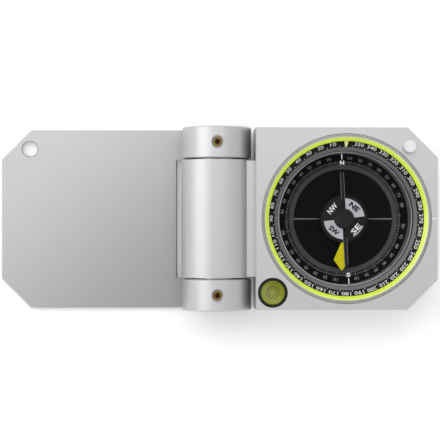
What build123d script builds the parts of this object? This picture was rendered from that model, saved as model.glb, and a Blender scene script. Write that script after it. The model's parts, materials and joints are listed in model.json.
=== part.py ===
"""Folding pocket transit compass with its lid opened flat.

Millimetres. X runs across the hinge, towards the case at +X and the lid at -X. Y runs along the
hinge, and its +Y end is called the rear. Z is up from the table, and the hinge axis is above x = 0.
"""

from build123d import *
from math import cos, radians, sin, sqrt
import os

os.makedirs("parts", exist_ok=True)

# ---------------------------------------------------------------- overall sizes
width = 76.0  # the case is a square of this side, and the lid matches it
knuckle_radius = 14.5  # also the height of the hinge axis above the table
lid_thickness = 3.0
lid_clearance = 0.5  # between the closed lid and the top of the case
near_gap = 1.4  # from the lid's knuckles to the near wall of the case
rim_wall = 2.5  # case wall left beside the dial at its thinnest
edge_break = 0.4  # chamfer on the machined outer edges
fixed_fit = 0.02  # radial clearance of pieces that are pressed or glued together
running_fit = 0.05  # radial clearance of pieces that turn or slide

case_near = knuckle_radius + near_gap
reach = case_near + width
case_height = 2 * knuckle_radius - lid_thickness - lid_clearance
dial_x = case_near + width / 2
bezel_radius = width / 2 - rim_wall

# ---------------------------------------------------------------- hinge
knuckle_length = 13.2
knuckle_proud = 0.5  # knuckles stand out past the sides of the case
hinge_end_gap = 0.6
barrel_drop = 1.6  # crown of the middle barrel below the crowns of the knuckles
barrel_inset = 0.7  # middle barrel's widest line, short of the case wall
web_step = 3.5  # step from the top of the case down to the web behind the barrel
slot_gap = 1.7  # lid's slot edge to the middle barrel
axle_radius = 5.0
bush_wall = 2.0
axle_short = 4.5  # axle's end inside the outer face of the knuckle
dip_dial_radius = 9.6
dip_dial_thickness = 0.8
dip_dial_gap = 0.3
dip_spigot_radius = 2.0
window_lip = 0.7
window_thickness = 1.4
window_ring_thickness = 0.9
washer_radius = 9.0
washer_thickness = 0.4
tension_screw_radius = 2.0
tension_mouth_radius = 2.85
tension_recess = 1.0
pad_stand = 0.5  # friction pad's top above the bush
tension_socket = 2.3  # across the corners of the hexagon socket
tension_socket_depth = 2.0
lock_screw_radius = 1.5
lock_screw_length = 6.0

knuckle_outer = width / 2 + knuckle_proud
knuckle_inner = knuckle_outer - knuckle_length
knuckle_middle = (knuckle_outer + knuckle_inner) / 2
barrel_half_length = knuckle_inner - hinge_end_gap
barrel_half_width = case_near - barrel_inset
barrel_half_height = knuckle_radius - barrel_drop
slot_edge = barrel_half_width + slot_gap
bush_radius = axle_radius + bush_wall
axle_half_length = knuckle_outer - axle_short
dip_pocket_radius = dip_dial_radius + dip_dial_gap
window_radius = dip_pocket_radius + window_lip
dip_pocket_floor = axle_half_length - dip_dial_gap
window_seat = axle_half_length + dip_dial_thickness + 2 * dip_dial_gap
knuckle_crown = 2 * knuckle_radius
tension_screw_length = knuckle_radius - tension_recess - bush_radius - pad_stand
pad_end = sqrt(axle_radius**2 - tension_screw_radius**2)
pad_length = knuckle_radius - tension_recess - tension_screw_length - pad_end

# ---------------------------------------------------------------- turning ring and crystal
ring_channel_depth = 7.5
bezel_width = 1.3
colour_width = 1.7
scale_width = 2.35  # sloping black band that carries the figures
scale_fall = 2.2
bevel_width = 1.7  # grey band inside it, with the degree marks
bevel_fall = 0.7
ring_gap = 0.1
glide_thickness = 1.4
glide_gap = 0.3
snap_radial = 1.1
snap_thickness = 0.8
snap_bite = 0.6  # how far the snap ring sits in its groove
snap_opening = 9.0  # gap between the snap ring's ends
neck_clearance = 0.1
colour_drop = 0.2
colour_fall = 1.0  # the coloured ring slopes down towards the dial
colour_depth = 1.8
scale_drop = 1.4  # outer edge of the black band below the top of the case
crystal_drop = 5.6
crystal_thickness = 1.4
crystal_land = 1.6  # width of the seat that the crystal rests on
gasket_thickness = 0.4
capsule_wall = 2.7
lip_gap = 0.3  # turning ring's lip above the crystal
carrier_gap = 0.35  # turning ring to the capsule wall
cavity_step = 0.5  # crystal's edge left showing inside the ring

colour_outer = bezel_radius - bezel_width - ring_gap
colour_inner = colour_outer - colour_width
bevel_outer = colour_inner - scale_width
bevel_inner = bevel_outer - bevel_width
cavity_radius = bevel_inner - cavity_step
capsule_radius = cavity_radius + capsule_wall
crystal_radius = cavity_radius + crystal_land
channel_floor = case_height - ring_channel_depth
ring_bottom = channel_floor + glide_thickness + ring_gap
crystal_top = case_height - crystal_drop
crystal_bottom = crystal_top - crystal_thickness
crystal_seat = crystal_bottom - gasket_thickness
bezel_flange = 0.6
snap_low = ring_bottom + bezel_flange + neck_clearance
colour_top = case_height - colour_drop
colour_floor = colour_top - colour_depth
scale_top = case_height - scale_drop
lip_low = crystal_top + lip_gap
carrier_inner = capsule_radius + carrier_gap

# ---------------------------------------------------------------- underside and dial floor
cover_seat = 1.6
cover_thickness = 1.4
room_height = 3.6
floor_thickness = 1.2
room_inset = 1.2  # lever room's wall beyond the cavity's wall
cover_land = 4.4  # cover's edge beyond the lever room
cover_gap = 0.1
cover_screw_radius = 1.0
cover_head_radius = 1.8
cover_screw_length = 4.6
screw_socket_depth = 0.7
index_depth = 0.2
index_width = 0.5
post_spigot_radius = 1.5
dial_thickness = 1.0
damping_outer_inset = 4.55
damping_width = 2.3
damping_height = 1.0

room_top = cover_seat + room_height
floor_top = room_top + floor_thickness
dial_top = floor_top + dial_thickness
room_radius = cavity_radius + room_inset
cover_radius = room_radius + cover_land
cover_screw_circle = room_radius + cover_land / 2
cover_low = cover_seat - cover_thickness
screw_low = cover_low + fixed_fit

# ---------------------------------------------------------------- needle
post_radius = 1.2
post_flange_radius = 3.0
post_flange = 1.0
point_height = 5.7  # pivot point above the dial
point_cone = 2.9
point_flat = 0.1
disc_radius = 10.0
disc_thickness = 1.0
disc_drop = 0.8  # disc's underside below the pivot point
card_radius = 8.8
card_thickness = 0.2
blade_reach = 21.0
blade_width = 1.6
blade_thickness = 0.3
blade_turn = 2.8  # degrees that the needle stands off the north line at rest
hub_radius = 4.2
hub_height = 1.5
jewel_radius = 2.2
jewel_drop = 2.2  # cup's mouth below the pivot point
jewel_gap = 0.25  # cup to the pivot point, and to the post at its mouth
arrow_turn = -2.7  # the arrow's own line, in degrees off the north line
arrow_root = 10.1
arrow_widest = 17.6
arrow_tip = 22.0
arrow_left = 3.6
arrow_right = 2.0
arrow_root_half = 0.75
arrow_thickness = 0.4
magnet_length = 13.0
magnet_width = 2.0
magnet_height = 1.3
magnet_side = 4.0

point_top = dial_top + point_height
disc_low = point_top - disc_drop
disc_top = disc_low + disc_thickness
card_top = disc_top + card_thickness
blade_top = card_top + blade_thickness
hub_top = blade_top + hub_height
jewel_low = point_top - jewel_drop

# ---------------------------------------------------------------- needle lift
button_angle = 49.0  # direction from the dial's centre to the button
button_land = 1.6
button_radius = 2.6
button_proud = 2.9
button_head_low = 13.0
corner_wall = 2.7
hole_clearance = 0.6  # lid's hole round the button
stem_radius = 1.35
stem_gap = 0.12  # stem's end to the lever below it
clip_thickness = 0.5
clip_radius = 2.3
clip_groove = 0.35
spring_floor = 9.0
spring_wire = 0.3
spring_turns = 3.5
lever_thickness = 0.8
lever_width = 5.0
lever_low = 2.9
lever_overhang = 2.6
fork_width = 7.0
fork_gap = 1.7
fork_length = 7.0
pin_radius = 0.7
pin_length = 9.4
boss_radius = 1.2
lug_thickness = 1.8
lug_length = 4.0
channel_width = 7.4
sleeve_radius = 2.3
sleeve_bore = 1.4
sleeve_room = 0.3
lift_slack = 0.4  # sleeve's top to the jewel cup that it raises
sleeve_flange_radius = 3.4
flange_room = 0.4  # pocket in the floor round and above the raised flange
sleeve_flange = 0.5
sleeve_gap = 0.2  # lever's fork to the sleeve's flange above it
sleeve_hole = sleeve_radius + sleeve_room
sleeve_top = jewel_low - lift_slack

button_distance = bezel_radius + button_land + button_radius
button_x = dial_x + button_distance * cos(radians(button_angle))
button_y = button_distance * sin(radians(button_angle))
corner_cut = (reach - button_x) + (width / 2 - button_y) - sqrt(2) * (button_radius + corner_wall)
hole_radius = button_radius + hole_clearance
pivot_distance = button_distance / 2
pin_height = lever_low + lever_thickness / 2
stem_low = lever_low + lever_thickness + stem_gap
sleeve_low = lever_low + lever_thickness + sleeve_gap
clip_low = room_top - running_fit - clip_thickness

# ---------------------------------------------------------------- round level
level_wall = 0.95
level_land = 1.9
level_depth = 8.0
level_lip = 1.25
level_floor = 1.0
level_base_thickness = 0.8
vial_wall = 0.75
vial_roof = 1.1
vial_drop = 0.4

level_radius = ((width / 2 - level_wall) * sqrt(2) - bezel_radius - level_land) / (1 + sqrt(2))
level_x = case_near + level_wall + level_radius
level_y = -(width / 2 - level_wall - level_radius)
vial_radius = level_radius - level_lip
level_bottom = case_height - level_depth
level_inside = level_bottom + level_floor + fixed_fit
vial_bottom = level_inside + level_base_thickness
vial_top = case_height - vial_drop


def dial_plane(height):
    """Level plane whose origin is on the dial's axis."""
    return Plane((dial_x, 0, height))


def lever_plane(height):
    """Level plane on the dial's axis, with its x towards the button."""
    return dial_plane(height).rotated((0, 0, button_angle))


# Upright plane through the dial's axis, and the plane that the lever's pin stands square to.
dial_section = Plane((dial_x, 0, 0), x_dir=(1, 0, 0), z_dir=(0, -1, 0))
dial_axis = Axis((dial_x, 0, 0), (0, 0, 1))
lever_x = (cos(radians(button_angle)), sin(radians(button_angle)), 0)
pin_centre = (dial_x + pivot_distance * lever_x[0], pivot_distance * lever_x[1], pin_height)
pin_plane = Plane(pin_centre, x_dir=lever_x, z_dir=(-lever_x[1], lever_x[0], 0))

# ================================================================ case
with BuildPart() as case_body:
    with BuildSketch() as case_outline:
        with Locations((dial_x, 0)):
            Rectangle(width, width)
        chamfer(case_outline.vertices().group_by(Axis.X)[-1], corner_cut)
    extrude(amount=case_height)
    chamfer(case_body.faces().sort_by(Axis.Z)[-1].edges(), edge_break)
    chamfer(case_body.faces().sort_by(Axis.Z)[0].edges(), edge_break)
    # Middle barrel of the hinge, and the web that joins it to the case.
    with BuildSketch(Plane.XZ):
        with Locations((0, knuckle_radius)):
            Ellipse(barrel_half_width, barrel_half_height)
    extrude(amount=barrel_half_length, both=True)
    with BuildSketch(Plane.XZ):
        with Locations((0, web_step)):
            Rectangle(case_near + edge_break, case_height - 2 * web_step, align=(Align.MIN, Align.MIN))
    extrude(amount=barrel_half_length - edge_break, both=True)
    # Bore for the axle, and its lock screw from below.
    with BuildSketch(Plane.XZ):
        with Locations((0, knuckle_radius)):
            Circle(axle_radius + fixed_fit)
    extrude(amount=barrel_half_length, both=True, mode=Mode.SUBTRACT)
    with BuildSketch():
        Circle(lock_screw_radius + fixed_fit)
    extrude(amount=knuckle_radius, mode=Mode.SUBTRACT)
    # Dial opening, the ring's channel round the capsule wall, and the crystal's seat.
    with BuildSketch(dial_plane(crystal_top)):
        Circle(bezel_radius)
    extrude(amount=case_height, mode=Mode.SUBTRACT)
    with BuildSketch(dial_plane(channel_floor)):
        Circle(bezel_radius)
        Circle(capsule_radius, mode=Mode.SUBTRACT)
    extrude(amount=case_height, mode=Mode.SUBTRACT)
    with BuildSketch(dial_plane(crystal_seat)):
        Circle(crystal_radius + fixed_fit)
    extrude(amount=case_height, mode=Mode.SUBTRACT)
    with BuildSketch(dial_plane(floor_top)):
        Circle(cavity_radius)
    extrude(amount=case_height, mode=Mode.SUBTRACT)
    with BuildSketch(dial_plane(snap_low - fixed_fit)):
        Circle(bezel_radius + snap_bite + fixed_fit)
        Circle(colour_outer, mode=Mode.SUBTRACT)
    extrude(amount=snap_thickness + 2 * fixed_fit, mode=Mode.SUBTRACT)
    # Lever room, cover seat and the sleeve's hole, from below.
    with BuildSketch(dial_plane(0)):
        Circle(cover_radius)
    extrude(amount=cover_seat, mode=Mode.SUBTRACT)
    with BuildSketch(dial_plane(cover_seat)):
        Circle(room_radius)
    extrude(amount=room_height, mode=Mode.SUBTRACT)
    with BuildSketch(dial_plane(room_top)):
        Circle(sleeve_hole)
    extrude(amount=floor_thickness, mode=Mode.SUBTRACT)
    with BuildSketch(dial_plane(room_top)):
        Circle(sleeve_flange_radius + flange_room)
    extrude(amount=flange_room, mode=Mode.SUBTRACT)
    with BuildSketch(dial_plane(cover_seat)):
        with PolarLocations(cover_screw_circle, 4):
            Circle(cover_screw_radius + fixed_fit)
    extrude(amount=cover_screw_length, mode=Mode.SUBTRACT)
    # Channel that the lever reaches the button through, and the button's bore.
    with BuildSketch(lever_plane(cover_seat)):
        with Locations((button_distance / 2, 0)):
            SlotCenterToCenter(button_distance, channel_width)
    extrude(amount=room_height, mode=Mode.SUBTRACT)
    with BuildSketch(lever_plane(spring_floor)):
        with Locations((button_distance, 0)):
            Circle(button_radius + running_fit)
    extrude(amount=case_height, mode=Mode.SUBTRACT)
    with BuildSketch(lever_plane(room_top)):
        with Locations((button_distance, 0)):
            Circle(stem_radius + running_fit)
    extrude(amount=spring_floor - room_top, mode=Mode.SUBTRACT)
    # Lugs that hang from the floor and hold the lever's pin.
    with BuildSketch(lever_plane(pin_height - boss_radius)):
        with GridLocations(0, pin_length - lug_thickness, 1, 2):
            with Locations((pivot_distance, 0)):
                Rectangle(lug_length, lug_thickness)
    extrude(amount=room_top + boss_radius - pin_height)
    with BuildSketch(pin_plane):
        Circle(pin_radius + fixed_fit)
    extrude(amount=pin_length / 2, both=True, mode=Mode.SUBTRACT)
    # Pocket for the round level, and the index mark cut into the far rim.
    with BuildSketch(Plane.XY.offset(level_bottom)):
        with Locations((level_x, level_y)):
            Circle(level_radius + fixed_fit)
    extrude(amount=case_height, mode=Mode.SUBTRACT)
    with BuildSketch(Plane.XY.offset(case_height - index_depth)):
        with Locations((dial_x + bezel_radius, 0)):
            Rectangle(2 * rim_wall, index_width, align=(Align.CENTER, Align.CENTER))
    extrude(amount=case_height, mode=Mode.SUBTRACT)
case_body.part.label = "case_body"
export_step(case_body.part, "parts/case_body.step")

with BuildPart() as bottom_cover:
    with BuildSketch(dial_plane(cover_low)):
        Circle(cover_radius - cover_gap)
        Circle(post_spigot_radius + fixed_fit, mode=Mode.SUBTRACT)
    extrude(amount=cover_thickness)
    with Locations(dial_plane(cover_low).rotated((180, 0, 0))):
        with PolarLocations(cover_screw_circle, 4):
            CounterSinkHole(cover_screw_radius + running_fit, cover_head_radius + running_fit, cover_thickness, 90)
bottom_cover.part.label = "bottom_cover"
export_step(bottom_cover.part, "parts/bottom_cover.step")

with BuildPart() as cover_screws:
    with Locations(dial_plane(screw_low)):
        with PolarLocations(cover_screw_circle, 4):
            standing = (Align.CENTER, Align.CENTER, Align.MIN)
            Cylinder(cover_screw_radius, cover_screw_length, align=standing)
            Cone(cover_head_radius, cover_screw_radius, cover_head_radius - cover_screw_radius, align=standing)
    with BuildSketch(dial_plane(screw_low)):
        with PolarLocations(cover_screw_circle, 4):
            RegularPolygon(cover_head_radius / 2, 6)
    extrude(amount=screw_socket_depth, mode=Mode.SUBTRACT)
cover_screws.part.label = "cover_screws"
export_step(cover_screws.part, "parts/cover_screws.step")

# ================================================================ hinge, on the case's side
with BuildPart() as hinge_axle:
    with BuildSketch(Plane.XZ):
        with Locations((0, knuckle_radius)):
            Circle(axle_radius)
    extrude(amount=axle_half_length, both=True)
    with BuildSketch(Plane.XZ):
        with Locations((0, knuckle_radius)):
            Circle(dip_spigot_radius)
    extrude(amount=axle_half_length + dip_dial_thickness, both=True)
hinge_axle.part.label = "hinge_axle"
export_step(hinge_axle.part, "parts/hinge_axle.step")

with BuildPart() as axle_lock_screw:
    with BuildSketch(Plane.XY.offset(knuckle_radius - axle_radius - fixed_fit - lock_screw_length)):
        Circle(lock_screw_radius)
    extrude(amount=lock_screw_length)
    with BuildSketch(axle_lock_screw.faces().sort_by(Axis.Z)[0]):
        RegularPolygon(lock_screw_radius / 2, 6)
    extrude(amount=-screw_socket_depth * 2, mode=Mode.SUBTRACT)
axle_lock_screw.part.label = "axle_lock_screw"
export_step(axle_lock_screw.part, "parts/axle_lock_screw.step")


def across_hinge(distance, side):
    """Plane square to the hinge at this distance from its middle, facing out at the given side."""
    return Plane((0, side * distance, knuckle_radius), x_dir=(1, 0, 0), z_dir=(0, side, 0))


# The two ends of the hinge hold the same pieces, so one loop makes both sets.
for end, side in (("rear", 1), ("front", -1)):
    with BuildPart() as thrust_washer:
        with BuildSketch(across_hinge(barrel_half_length + (hinge_end_gap - washer_thickness) / 2, side)):
            Circle(washer_radius)
            Circle(axle_radius + running_fit, mode=Mode.SUBTRACT)
        extrude(amount=washer_thickness)
    thrust_washer.part.label = f"{end}_thrust_washer"
    export_step(thrust_washer.part, f"parts/{end}_thrust_washer.step")

    with BuildPart() as dip_dial:
        with BuildSketch(across_hinge(axle_half_length + fixed_fit, side)):
            Circle(dip_dial_radius)
            Circle(dip_spigot_radius + fixed_fit, mode=Mode.SUBTRACT)
        extrude(amount=dip_dial_thickness)
    dip_dial.part.label = f"{end}_dip_dial"
    export_step(dip_dial.part, f"parts/{end}_dip_dial.step")

    with BuildPart() as hinge_bush:
        with BuildSketch(across_hinge(knuckle_inner + running_fit, side)):
            Circle(bush_radius)
            Circle(axle_radius + running_fit, mode=Mode.SUBTRACT)
        extrude(amount=dip_pocket_floor - knuckle_inner - 2 * running_fit)
        with BuildSketch(Plane.XY.offset(knuckle_radius)):
            with Locations((0, side * knuckle_middle)):
                Circle(tension_screw_radius + running_fit)
        extrude(amount=knuckle_radius, mode=Mode.SUBTRACT)
    hinge_bush.part.label = f"{end}_hinge_bush"
    export_step(hinge_bush.part, f"parts/{end}_hinge_bush.step")

    with BuildPart() as dip_window:
        with BuildSketch(across_hinge(window_seat, side)):
            Circle(window_radius)
        extrude(amount=window_thickness)
    dip_window.part.label = f"{end}_dip_window"
    export_step(dip_window.part, f"parts/{end}_dip_window.step")

    with BuildPart() as window_ring:
        with BuildSketch(across_hinge(window_seat + window_thickness, side)):
            Circle(window_radius)
            Circle(dip_pocket_radius - window_lip, mode=Mode.SUBTRACT)
        extrude(amount=window_ring_thickness)
    window_ring.part.label = f"{end}_window_ring"
    export_step(window_ring.part, f"parts/{end}_window_ring.step")

# ================================================================ lid
with BuildPart() as knuckles:
    with BuildSketch(across_hinge(knuckle_inner, 1)):
        Circle(knuckle_radius)
    extrude(amount=knuckle_length)
    chamfer(knuckles.edges(), edge_break)
    mirror(about=Plane.XZ)

with BuildPart() as lid:
    with BuildSketch() as lid_outline:
        with Locations((-reach / 2, 0)):
            Rectangle(reach, width)
        chamfer(lid_outline.vertices().group_by(Axis.X)[0], corner_cut)
        Rectangle(2 * slot_edge, 2 * knuckle_inner, mode=Mode.SUBTRACT)
        with Locations((-button_x, button_y)):
            Circle(hole_radius, mode=Mode.SUBTRACT)
    extrude(amount=lid_thickness)
    # Edges of the two flat faces are broken, all but those that run up to the knuckles' inner ends.
    flat_faces = lid.faces().filter_by(Axis.Z)
    chamfer(flat_faces.edges().filter_by(lambda e: e.center().X < -slot_edge / 2 - edge_break), edge_break)
    add(knuckles.part)
    # Bores for the bushes, and the pockets for the dip dials and their windows.
    for side in (1, -1):
        with BuildSketch(across_hinge(knuckle_inner, side)):
            Circle(bush_radius + fixed_fit)
        extrude(amount=knuckle_length, mode=Mode.SUBTRACT)
        with BuildSketch(across_hinge(dip_pocket_floor, side)):
            Circle(dip_pocket_radius)
        extrude(amount=knuckle_length, mode=Mode.SUBTRACT)
        with BuildSketch(across_hinge(window_seat, side)):
            Circle(window_radius + fixed_fit)
        extrude(amount=knuckle_length, mode=Mode.SUBTRACT)
    # Radial holes for the tension screws, with countersunk mouths.
    with Locations(Plane.XY.offset(knuckle_crown)):
        with GridLocations(0, 2 * knuckle_middle, 1, 2):
            CounterSinkHole(tension_screw_radius + fixed_fit, tension_mouth_radius, knuckle_radius, 90)
lid.part.label = "lid"
export_step(lid.part, "parts/lid.step")

with BuildPart() as tension_screws:
    with BuildSketch(Plane.XY.offset(knuckle_crown - tension_recess)):
        with GridLocations(0, 2 * knuckle_middle, 1, 2):
            Circle(tension_screw_radius)
    extrude(amount=-tension_screw_length)
    chamfer(tension_screws.faces().sort_by(Axis.Z)[-2:].edges(), edge_break / 2)
    with BuildSketch(Plane.XY.offset(knuckle_crown - tension_recess)):
        with GridLocations(0, 2 * knuckle_middle, 1, 2):
            RegularPolygon(tension_socket / 2, 6)
    extrude(amount=-tension_socket_depth, mode=Mode.SUBTRACT)
tension_screws.part.label = "tension_screws"
export_step(tension_screws.part, "parts/tension_screws.step")

with BuildPart() as friction_pads:
    with BuildSketch(Plane.XY.offset(knuckle_crown - tension_recess - tension_screw_length)):
        with GridLocations(0, 2 * knuckle_middle, 1, 2):
            Circle(tension_screw_radius - fixed_fit)
    extrude(amount=-pad_length)
    with BuildSketch(Plane.XZ):
        with Locations((0, knuckle_radius)):
            Circle(axle_radius + running_fit)
    extrude(amount=knuckle_outer, both=True, mode=Mode.SUBTRACT)
friction_pads.part.label = "friction_pads"
export_step(friction_pads.part, "parts/friction_pads.step")

# ================================================================ dial, under the crystal
with BuildPart() as dial_plate:
    with BuildSketch(dial_plane(floor_top)):
        Circle(cavity_radius - cover_gap)
        Circle(sleeve_hole, mode=Mode.SUBTRACT)
    extrude(amount=dial_thickness)
dial_plate.part.label = "dial_plate"
export_step(dial_plate.part, "parts/dial_plate.step")

with BuildPart() as damping_ring:
    with BuildSketch(dial_plane(dial_top)):
        Circle(cavity_radius - damping_outer_inset)
        Circle(cavity_radius - damping_outer_inset - damping_width, mode=Mode.SUBTRACT)
    extrude(amount=damping_height)
    chamfer(damping_ring.faces().sort_by(Axis.Z)[-1].edges(), edge_break / 2)
damping_ring.part.label = "damping_ring"
export_step(damping_ring.part, "parts/damping_ring.step")

with BuildPart() as crystal_gasket:
    with BuildSketch(dial_plane(crystal_seat)):
        Circle(crystal_radius - fixed_fit)
        Circle(cavity_radius + gasket_thickness, mode=Mode.SUBTRACT)
    extrude(amount=gasket_thickness)
crystal_gasket.part.label = "crystal_gasket"
export_step(crystal_gasket.part, "parts/crystal_gasket.step")

with BuildPart() as crystal:
    with BuildSketch(dial_plane(crystal_bottom)):
        Circle(crystal_radius)
    extrude(amount=crystal_thickness)
    chamfer(crystal.faces().sort_by(Axis.Z)[-1].edges(), edge_break / 2)
crystal.part.label = "crystal"
export_step(crystal.part, "parts/crystal.step")

with BuildPart() as pivot_post:
    with BuildSketch(dial_section):
        with BuildLine():
            Polyline(
                (0, cover_low + fixed_fit),
                (post_spigot_radius, cover_low + fixed_fit),
                (post_spigot_radius, cover_seat),
                (post_flange_radius, cover_seat),
                (post_flange_radius, cover_seat + post_flange),
                (post_radius, cover_seat + post_flange),
                (post_radius, point_top - point_cone),
                (point_flat, point_top),
                (0, point_top),
                close=True,
            )
        make_face()
    revolve(axis=dial_axis)
pivot_post.part.label = "pivot_post"
export_step(pivot_post.part, "parts/pivot_post.step")

# ================================================================ turning azimuth ring
with BuildPart() as glide_ring:
    with BuildSketch(dial_plane(channel_floor)):
        Circle(bezel_radius - glide_gap)
        Circle(capsule_radius + glide_gap, mode=Mode.SUBTRACT)
    extrude(amount=glide_thickness)
glide_ring.part.label = "glide_ring"
export_step(glide_ring.part, "parts/glide_ring.step")

with BuildPart() as snap_ring:
    with BuildSketch(dial_plane(snap_low)):
        Circle(bezel_radius + snap_bite)
        Circle(bezel_radius + snap_bite - snap_radial, mode=Mode.SUBTRACT)
        with Locations((0, bezel_radius)):
            Rectangle(snap_opening, 4 * snap_radial, mode=Mode.SUBTRACT)
    extrude(amount=snap_thickness)
snap_ring.part.label = "snap_ring"
export_step(snap_ring.part, "parts/snap_ring.step")

with BuildPart() as azimuth_ring:
    with BuildSketch(dial_section):
        with BuildLine():
            Polyline(
                (carrier_inner, ring_bottom),
                (colour_outer, ring_bottom),
                (colour_outer, colour_floor),
                (colour_inner, colour_floor),
                (colour_inner, scale_top),
                (bevel_outer, scale_top - scale_fall),
                (bevel_inner, scale_top - scale_fall - bevel_fall),
                (bevel_inner, lip_low),
                (carrier_inner, lip_low),
                close=True,
            )
        make_face()
    revolve(axis=dial_axis)
azimuth_ring.part.label = "azimuth_ring"
export_step(azimuth_ring.part, "parts/azimuth_ring.step")

with BuildPart() as colour_ring:
    with BuildSketch(dial_section):
        with BuildLine():
            Polyline(
                (colour_inner + fixed_fit, colour_floor),
                (colour_outer, colour_floor),
                (colour_outer, colour_top),
                (colour_inner + fixed_fit, colour_top - colour_fall),
                close=True,
            )
        make_face()
    revolve(axis=dial_axis)
colour_ring.part.label = "colour_ring"
export_step(colour_ring.part, "parts/colour_ring.step")

with BuildPart() as bezel_ring:
    neck_radius = bezel_radius + snap_bite - snap_radial - neck_clearance
    neck_low = snap_low - neck_clearance
    neck_high = snap_low + snap_thickness + neck_clearance
    bezel_outer = bezel_radius - ring_gap
    bezel_inner = colour_outer + fixed_fit
    groove_middle = (bezel_outer + bezel_inner) / 2
    groove_half = bezel_width / 10
    with BuildSketch(dial_section):
        with BuildLine():
            Polyline(
                (bezel_inner, ring_bottom),
                (bezel_outer, ring_bottom),
                (bezel_outer, neck_low),
                (neck_radius, neck_low),
                (neck_radius, neck_high),
                (bezel_outer, neck_high),
                (bezel_outer, case_height - edge_break / 2),
                (bezel_outer - edge_break / 2, case_height),
                (groove_middle + groove_half, case_height),
                (groove_middle, case_height - 2 * groove_half),
                (groove_middle - groove_half, case_height),
                (bezel_inner + edge_break / 2, case_height),
                (bezel_inner, case_height - edge_break / 2),
                close=True,
            )
        make_face()
    revolve(axis=dial_axis)
bezel_ring.part.label = "bezel_ring"
export_step(bezel_ring.part, "parts/bezel_ring.step")

# ================================================================ needle
blade_plane = dial_plane(card_top).rotated((0, 0, blade_turn))
arrow_plane = dial_plane(card_top).rotated((0, 0, arrow_turn))

with BuildPart() as jewel_cup:
    with BuildSketch(dial_section):
        with BuildLine():
            Polyline(
                (0, point_top + jewel_gap),
                (post_radius + jewel_gap, jewel_low),
                (jewel_radius, jewel_low),
                (jewel_radius, card_top),
                (0, card_top),
                close=True,
            )
        make_face()
    revolve(axis=dial_axis)
jewel_cup.part.label = "jewel_cup"
export_step(jewel_cup.part, "parts/jewel_cup.step")

with BuildPart() as needle_disc:
    with BuildSketch(dial_plane(disc_low)):
        Circle(disc_radius)
        Circle(jewel_radius + fixed_fit, mode=Mode.SUBTRACT)
    extrude(amount=disc_thickness)
    # Raised rim round the card.
    with BuildSketch(dial_plane(disc_top)):
        Circle(disc_radius)
        Circle(card_radius + fixed_fit, mode=Mode.SUBTRACT)
    extrude(amount=card_thickness)
needle_disc.part.label = "needle_disc"
export_step(needle_disc.part, "parts/needle_disc.step")

with BuildPart() as quadrant_card:
    with BuildSketch(dial_plane(disc_top)):
        Circle(card_radius)
        Circle(jewel_radius + fixed_fit, mode=Mode.SUBTRACT)
    extrude(amount=card_thickness)
quadrant_card.part.label = "quadrant_card"
export_step(quadrant_card.part, "parts/quadrant_card.step")

with BuildPart() as needle_magnets:
    with BuildSketch(dial_plane(disc_low).rotated((0, 0, blade_turn))):
        with GridLocations(2 * magnet_side, 0, 2, 1):
            Rectangle(magnet_width, magnet_length)
    extrude(amount=-magnet_height)
needle_magnets.part.label = "needle_magnets"
export_step(needle_magnets.part, "parts/needle_magnets.step")

with BuildPart() as needle_blade:
    with BuildSketch(blade_plane):
        with BuildLine():
            Polyline(
                (-blade_width / 2, -blade_reach + blade_width),
                (0, -blade_reach),
                (blade_width / 2, -blade_reach + blade_width),
                (blade_width / 2, blade_reach - blade_width),
                (0, blade_reach),
                (-blade_width / 2, blade_reach - blade_width),
                close=True,
            )
        make_face()
        Circle(hub_radius - edge_break)
    extrude(amount=blade_thickness)
needle_blade.part.label = "needle_blade"
export_step(needle_blade.part, "parts/needle_blade.step")

with BuildPart() as yellow_arrow:
    with BuildSketch(arrow_plane):
        with BuildLine():
            Polyline(
                (-arrow_root_half, -arrow_root),
                (-arrow_left, -arrow_widest),
                (0, -arrow_tip),
                (arrow_right, -arrow_widest - arrow_left + arrow_right),
                (arrow_root_half, -arrow_root),
                close=True,
            )
        make_face()
    extrude(amount=-arrow_thickness)
yellow_arrow.part.label = "yellow_arrow"
export_step(yellow_arrow.part, "parts/yellow_arrow.step")

with BuildPart() as hub_cap:
    with BuildSketch(dial_plane(blade_top)):
        Circle(hub_radius)
    extrude(amount=hub_height)
    fillet(hub_cap.faces().sort_by(Axis.Z)[-1].edges(), hub_height / 2)
hub_cap.part.label = "hub_cap"
export_step(hub_cap.part, "parts/hub_cap.step")

# ================================================================ needle lift
with BuildPart() as lift_sleeve:
    with BuildSketch(dial_plane(sleeve_low)):
        Circle(sleeve_flange_radius)
        Circle(sleeve_bore, mode=Mode.SUBTRACT)
    extrude(amount=sleeve_flange)
    with BuildSketch(dial_plane(sleeve_low)):
        Circle(sleeve_radius)
        Circle(sleeve_bore, mode=Mode.SUBTRACT)
    extrude(amount=sleeve_top - sleeve_low)
lift_sleeve.part.label = "lift_sleeve"
export_step(lift_sleeve.part, "parts/lift_sleeve.step")

with BuildPart() as lift_lever:
    with BuildSketch(lever_plane(lever_low)):
        Rectangle(button_distance + lever_overhang, lever_width, align=(Align.MIN, Align.CENTER))
        Rectangle(fork_length, fork_width)
        with Locations((-fork_length, 0)):
            SlotCenterToCenter(2 * fork_length, 2 * fork_gap, mode=Mode.SUBTRACT)
    extrude(amount=lever_thickness)
    with BuildSketch(pin_plane):
        Circle(boss_radius)
    extrude(amount=lever_width / 2, both=True)
    with BuildSketch(pin_plane):
        Circle(pin_radius + running_fit)
    extrude(amount=lever_width / 2, both=True, mode=Mode.SUBTRACT)
lift_lever.part.label = "lift_lever"
export_step(lift_lever.part, "parts/lift_lever.step")

with BuildPart() as lever_pin:
    with BuildSketch(pin_plane):
        Circle(pin_radius)
    extrude(amount=pin_length / 2, both=True)
lever_pin.part.label = "lever_pin"
export_step(lever_pin.part, "parts/lever_pin.step")


def button_plane(height):
    """Level plane whose origin is on the button's axis."""
    return Plane((button_x, button_y, height))


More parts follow.
